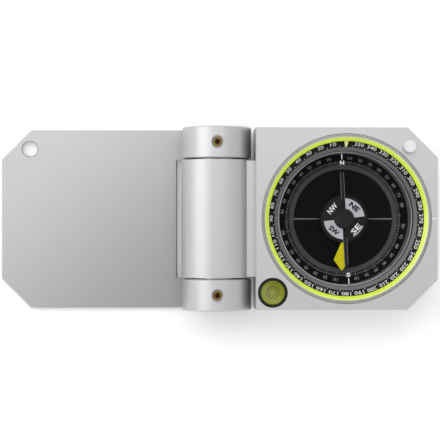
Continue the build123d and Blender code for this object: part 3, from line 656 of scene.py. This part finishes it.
TICK_LENGTH = 0.20 * band_length
tick = bar(0.22 * MM, TICK_LENGTH)
tick_shift = TICK_LENGTH / 2 - band_length / 2 + 0.1 * MM
ticks = [on_band(tick, NOUGHT + degrees, tick_shift) for degrees in range(5, 360, 10)]
add_print("bearing_ticks", ticks, "azimuth_ring", white_ink)

wedge = bar(0.8 * MM, 0.98 * band_length, high=0.06 * MM, taper=2.2, steps=4)
add_print("bearing_pointer", [on_band(wedge, NOUGHT)], "azimuth_ring", cream_ink)
print("band slope in degrees:", round(float(np.degrees(band_slope)), 1))

# %% [markdown]
# The grey step is a second sloping face, dyed lighter. A thin printed band covers it, and on the
# band stand three hundred and sixty ticks, so each tick is only a six-sided bar.

# %% Degree band inside the figures
step_run, step_fall = inner[0] - step_end[0], inner[1] - step_end[1]
step_slope = np.arctan2(step_fall, step_run)
step_length = np.hypot(step_run, step_fall)
step_middle = ((inner[0] + step_end[0]) / 2, (inner[1] + step_end[1]) / 2)
AROUND = 240


def flat_band(width, thick=INK, around=AROUND):
    """A closed hoop's cross-section carried round: u is left to the bearing, v spans the width."""
    half = width / 2
    section = np.array([(-half, 0.0), (half, 0.0), (half, thick), (-half, thick)])
    return section, around


def hoop(width, radius, height, slope=0.0, thick=INK, around=AROUND, low=0.0, sweep=(0.0, 360.0)):
    """A thin flat hoop about the dial's axis, or a part of one from bearing to bearing."""
    section, _ = flat_band(width, thick)
    whole = sweep[1] - sweep[0] >= 360.0
    bearings = np.linspace(sweep[0], sweep[1], around, endpoint=not whole)
    out = radius + section[:, 0] * np.cos(slope) - (section[:, 1] + low) * np.sin(slope)
    up = height + section[:, 0] * np.sin(slope) + (section[:, 1] + low) * np.cos(slope)
    angle = np.radians(bearings)[:, None]
    grid = np.stack([DIAL.x + out * np.cos(angle), DIAL.y + out * np.sin(angle), up + 0 * angle], axis=2)
    spans = around if whole else around - 1
    faces = [
        (
            4 * i + j, 4 * ((i + 1) % around) + j, 4 * ((i + 1) % around) + (j + 1) % 4,
            4 * i + (j + 1) % 4
        )
        for i in range(spans)
        for j in range(4)
    ]
    if not whole:
        faces += [(0, 1, 2, 3), tuple(4 * spans + j for j in (3, 2, 1, 0))]
    return grid.reshape(-1, 3), faces


step_finish = plain_finish("step_grey", (0.085, 0.085, 0.09), 0.35, 0.38, mottle=0.04)
add_print(
    "degree_band", [hoop(0.96 * step_length, *step_middle, step_slope)], "azimuth_ring",
    step_finish
)
degree_tick = bar(0.12 * MM, 0.62 * step_length, low=INK, high=1.6 * INK)
degree_ticks = []
for degrees in range(360):
    points, faces = degree_tick
    degree_ticks.append((laid_round(points, degrees, *step_middle, step_slope), faces))
add_print("degree_ticks", degree_ticks, "azimuth_ring", line_ink)
print("step slope in degrees:", round(float(np.degrees(step_slope)), 1))

# %% [markdown]
# Deep under the crystal the dial plate has its own dim scale for bearings taken by quadrant, which
# counts up to eighty from both ends of the north line, and a grey line to the east and the west.

# %% Dial plate
plate_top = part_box("dial_plate")[1].z
damper_radii = turned_profile("damping_ring")[:, 0]
damper_outer, damper_inner = damper_radii.max(), damper_radii.min()
plate_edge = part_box("dial_plate")[1].x - DIAL.x
scale_room = plate_edge - damper_outer
dial_turn = 3.2


def on_plate_round(shape, bearing, radius):
    """A flat shape on the dial plate, tops outward."""
    points, faces = shape
    return laid_round(points, bearing, radius, plate_top), faces


quadrant_figures = []
for quarter in range(4):
    for tens in range(1, 9):
        bearing = NOUGHT + dial_turn + 90 * quarter + 10 * tens
        value = 10 * tens if quarter % 2 == 0 else 90 - 10 * tens
        quadrant_figures.append(
            on_plate_round(
                letters(str(value), 1.35 * MM, 1.9 * MM, 0.01), bearing,
                damper_outer + 0.62 * scale_room
            )
        )
add_print("quadrant_figures", quadrant_figures, "case", grey_ink)

short, long = bar(0.22 * MM, 0.20 * scale_room), bar(0.28 * MM, 0.30 * scale_room)
quadrant_ticks = []
for half_tens in range(0, 360, 2):
    shape = long if half_tens % 10 == 0 else short
    quadrant_ticks.append(
        on_plate_round(shape, NOUGHT + dial_turn + half_tens, damper_outer + 0.17 * scale_room)
    )
add_print("quadrant_ticks", quadrant_ticks, "case", grey_ink)

line_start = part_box("needle_disc")[1].x - DIAL.x
line_length = damper_inner - line_start
line_shape = bar(0.45 * MM, line_length)
east_west = [on_plate_round(line_shape, bearing, line_start + line_length / 2) for bearing in (0, 180)]
add_print("east_west_lines", east_west, "case", line_ink)

# %% [markdown]
# North and south are printed on the underside of the crystal, in white, each with a tick beyond
# it, so that they stand close over the needle and stay put with the case.

# %% North and south marks
crystal_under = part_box("crystal")[0].z
LETTER_RADIUS, MARK_TURN = 23.6 * MM, 3.2
marks = []
for text, bearing in (("N", 90 + MARK_TURN), ("S", 270 + MARK_TURN)):
    across = np.radians(bearing)
    middle = (DIAL.x + LETTER_RADIUS * np.cos(across), DIAL.y + LETTER_RADIUS * np.sin(across))
    shape, faces = letters(text, 1.75 * MM, 1.7 * MM, 0.03)
    marks.append((laid_flat(shape, middle, crystal_under - 1.5 * INK, MARK_TURN), faces))
    points, faces = bar(0.38 * MM, 2.5 * MM, low=-1.5 * INK, high=-0.5 * INK)
    marks.append((laid_round(points, bearing, 26.3 * MM, crystal_under), faces))
add_print("north_south_marks", marks, "case", bright_ink)

# %% [markdown]
# The needle's card names the four quadrants, two on silver and two on black, so that they can be
# told apart at a glance.

# %% Quadrant card
CARD_TURN = 4.0
card_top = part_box("quadrant_card")[1].z
card_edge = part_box("quadrant_card")[1].x - DIAL.x
hub_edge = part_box("hub_cap")[1].x - DIAL.x
SECTOR_GAP = 3.0
sector_middle, sector_width = (card_edge + hub_edge) / 2, card_edge - hub_edge
sectors = [
    hoop(
        sector_width - 0.25 * MM, sector_middle, card_top, around=40,
        sweep=(start + CARD_TURN + SECTOR_GAP, start + CARD_TURN + 90 - SECTOR_GAP)
    )
    for start in (0, 180)
]
add_print("card_sectors", sectors, "needle", silver_ink)

card_letters = {"black": [], "white": []}
for text, bearing, ink, turned_in in (
    ("NE", 45, "black", 0), ("NW", 135, "white", 0), ("SW", 225, "black", 180),
    ("SE", 315, "white", 180)
):
    across = np.radians(bearing + CARD_TURN)
    middle = (
        DIAL.x + (sector_middle + 0.1 * MM) * np.cos(across),
        DIAL.y + (sector_middle + 0.1 * MM) * np.sin(across)
    )
    shape, faces = letters(text, 2.3 * MM, 4.8 * MM, 0.05 if ink == "black" else 0.02)
    card_letters[ink].append(
        (laid_flat(shape, middle, card_top + INK, bearing + CARD_TURN - 90 + turned_in), faces)
    )
add_print("card_letters_black", card_letters["black"], "needle", black_ink)
card_letters["white"].append(
    hoop(
        0.28 * MM, card_edge - 0.45 * MM, card_top, around=24,
        sweep=(CARD_TURN - 66, CARD_TURN - 24)
    )
)
add_print("card_letters_white", card_letters["white"], "needle", bright_ink)

# %% [markdown]
# The blade's pale lines are thin bars laid along its two edges, and the pit in its cap is painted
# shade: a flat disc of dark ink inside a ring of the same, because it is too shallow to need a hollow.

# %% Blade lines and hub pit
blade_low, blade_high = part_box("needle_blade")
BLADE_TURN = 2.8
blade_reach = (blade_high.y - blade_low.y) / 2
edge_lines = []
for bearing in (90, 270):
    for side in (-1, 1):
        start, stop = (card_edge - 0.6 * MM, blade_reach - 1.4 * MM)
        points, faces = bar(0.16 * MM, stop - start)
        moved = points + np.array([side * 0.68 * MM, (start + stop) / 2, 0])
        edge_lines.append(
            (laid_flat(moved, (DIAL.x, DIAL.y), blade_high.z, bearing - 90 + BLADE_TURN), faces)
        )
add_print("blade_edge_lines", edge_lines, "needle", line_ink)
# Painted shade: dark ink where the cap's pit would hold shade.
hub_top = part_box("hub_cap")[1].z
pit = [hoop(0.5 * MM, 1.9 * MM, hub_top, around=64)]
add_print("hub_pit_ring", pit, "needle", black_ink)


def disc(radius, centre, low, high, around=64):
    """A round plate: rings of corners from its foot up and then in to the middle of its flat top."""
    shares = np.array([1.0, 1.0, 0.75, 0.5, 0.25])
    heights = np.array([low, high, high, high, high])
    angle = np.linspace(0, 2 * np.pi, around, endpoint=False)
    rings = [
        np.column_stack(
            [
                centre[0] + radius * s * np.cos(angle), centre[1] + radius * s * np.sin(angle),
                np.full(around, h)
            ]
        ) for s,
        h in zip(shares, heights)
    ]
    points = np.vstack(rings + [[(centre[0], centre[1], high)]])
    faces = [
        (
            r * around + i, r * around + (i + 1) % around, (r + 1) * around + (i + 1) % around,
            (r + 1) * around + i
        )
        for r in range(len(shares) - 1)
        for i in range(around)
    ]
    top = len(points) - 1
    faces += [
        ((len(shares) - 1) * around + i, (len(shares) - 1) * around + (i + 1) % around, top)
        for i in range(around)
    ]
    faces.append(tuple(range(around))[::-1])
    return points, faces


add_print(
    "hub_pit", [disc(1.62 * MM, (DIAL.x, DIAL.y), hub_top, hub_top + 0.5 * INK)], "needle",
    black_ink
)

# %% [markdown]
# The round level is a clear vial of green fluid with a black ring printed on top. Its bubble, a
# flat pocket of air under the roof, shows only by its dark rim, where the meniscus bends light
# away, so the rim is all that is drawn.

# %% Round level
LEVEL = middle_of("level_vial")
vial_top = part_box("level_vial")[1].z
fluid_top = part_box("level_fluid")[1].z


def moved_hoop(width, radius, height, thick=INK, around=72):
    """A hoop about the level's own axis."""
    points, faces = hoop(width, radius, height, thick=thick, around=around)
    return points + np.array([LEVEL.x - DIAL.x, LEVEL.y - DIAL.y, 0]), faces


add_print(
    "level_circle", [moved_hoop(0.24 * MM, 2.5 * MM, vial_top - 0.2 * INK, thick=0.8 * INK)],
    "case", black_ink
)
BUBBLE_RADIUS = 1.5 * MM
add_print(
    "level_bubble_rim",
    [moved_hoop(0.22 * MM, BUBBLE_RADIUS, fluid_top - 0.15 * MM, thick=0.12 * MM)], "case",
    black_ink
)

# %% [markdown]
# Each end of the hinge has a small white dial behind a window. The dial stays with the case and
# the window turns with the lid, so an index line on the window reads how far the lid has swung.

# %% Dials in the hinge's ends
HINGE_HEIGHT = middle_of("hinge_axle").z
dip_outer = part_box("rear_dip_dial")[1].x


def laid_on_end(drawn, bearing, radius, face, side):
    """Flat points on an upright face at y = face that looks out at side, v away from the hinge's axis.

    With a the angle from straight up, clockwise as seen from outside: x = -side r sin a,
    z = hinge height + r cos a, and y = face + side w.
    """
    u, v, w = drawn.T
    out = radius + v
    angle = np.radians(bearing) + u / radius
    return np.column_stack(
        [-side * out * np.sin(angle), face + side * w, HINGE_HEIGHT + out * np.cos(angle)]
    )


red_ink = upright_film("ink_red", (0.55, 0.03, 0.02))
for end, side in (("rear", 1), ("front", -1)):
    low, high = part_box(f"{end}_dip_dial")
    face = high.y if side > 0 else low.y
    dip_prints = []
    for degrees in range(-180, 180, 5):
        length = (1.6 if degrees % 30 == 0 else 0.9) * MM
        points, faces = bar(0.22 * MM, length)
        dip_prints.append(
            (laid_on_end(points, degrees, dip_outer - 0.4 * MM - length / 2, face, side), faces)
        )
    for degrees in range(-150, 181, 30):
        text = str(abs(degrees))
        points, faces = letters(text, 1.5 * MM, 0.95 * MM * len(text), 0.01)
        dip_prints.append((laid_on_end(points, degrees, dip_outer - 3.2 * MM, face, side), faces))
    add_print(f"{end}_dip_scale", dip_prints, "case", black_ink)
    low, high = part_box(f"{end}_dip_window")
    inside = low.y if side > 0 else high.y
    points, faces = bar(0.35 * MM, 4.6 * MM, low=-1.5 * INK, high=-0.5 * INK)
    index = [(laid_on_end(points, 0.0, dip_outer - 3.0 * MM, inside, side), faces)]
    add_print(f"{end}_dip_index", index, "lid", red_ink)
print("hinge dials' outer radius in mm:", round(dip_outer / MM, 2))

# %% [markdown]
# A short white line on the far rim, in line with the dial's middle, is what the figures are read
# against. It is paint wiped into a shallow groove, so it lies just below the rim's face.

# %% Index line on the rim
RING_DROP, PAINT_DEPTH, PAINT_THICK = 1.4 * MM, 0.18 * MM, 0.12 * MM
rim_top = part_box("azimuth_ring")[1].z + RING_DROP
case_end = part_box("case_body")[1].x - 0.5 * MM
rim_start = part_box("bezel_ring")[1].x + 0.15 * MM
index_length = case_end - rim_start
points, faces = bar(0.46 * MM, index_length, high=PAINT_THICK)
index_middle = ((rim_start + case_end) / 2, DIAL.y)
add_print(
    "rim_index", [(laid_flat(points, index_middle, rim_top - PAINT_DEPTH, 90.0), faces)], "case",
    bright_ink
)

# %% [markdown]
# The button's coil spring has to shorten when the button is pressed. The machined one can't, so a
# swept coil takes its place.


# %% Coil spring under the button
def coil(radius, wire, low, high, turns, centre, around=10, along=160):
    """A round wire along a helix: the wire's centre climbs evenly from low to high while it turns.

    Around the wire, a point is the centre plus wire (cos a outward + sin a upward).
    """
    share = np.linspace(0, 1, along)[:, None]
    angle = 2 * np.pi * turns * share
    a = np.linspace(0, 2 * np.pi, around, endpoint=False)[None, :]
    out = radius + wire * np.cos(a)
    points = np.stack(
        [
            centre[0] + out * np.cos(angle), centre[1] + out * np.sin(angle),
            low + (high - low) * share + wire * np.sin(a)
        ],
        axis=2
    )
    faces = [
        (
            around * i + j, around * (i + 1) + j, around * (i + 1) + (j + 1) % around,
            around * i + (j + 1) % around
        )
        for i in range(along - 1)
        for j in range(around)
    ]
    faces += [tuple(range(around)), tuple(around * (along - 1) + j for j in range(around))[::-1]]
    return points.reshape(-1, 3), faces


spring_low, spring_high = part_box("button_spring")
button_middle = middle_of("lift_button")
WIRE, TURNS, TRAVEL = 0.3 * MM, 3.5, 1.0 * MM
coil_radius = (spring_high.y - spring_low.y) / 2 - WIRE
button_spring = add_print(
    "pressed_spring",
    [coil(coil_radius, WIRE, spring_low.z + WIRE, spring_high.z - WIRE, TURNS, button_middle)],
    "case", finishes["spring_steel"]
)
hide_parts("button_spring")
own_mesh(button_spring)
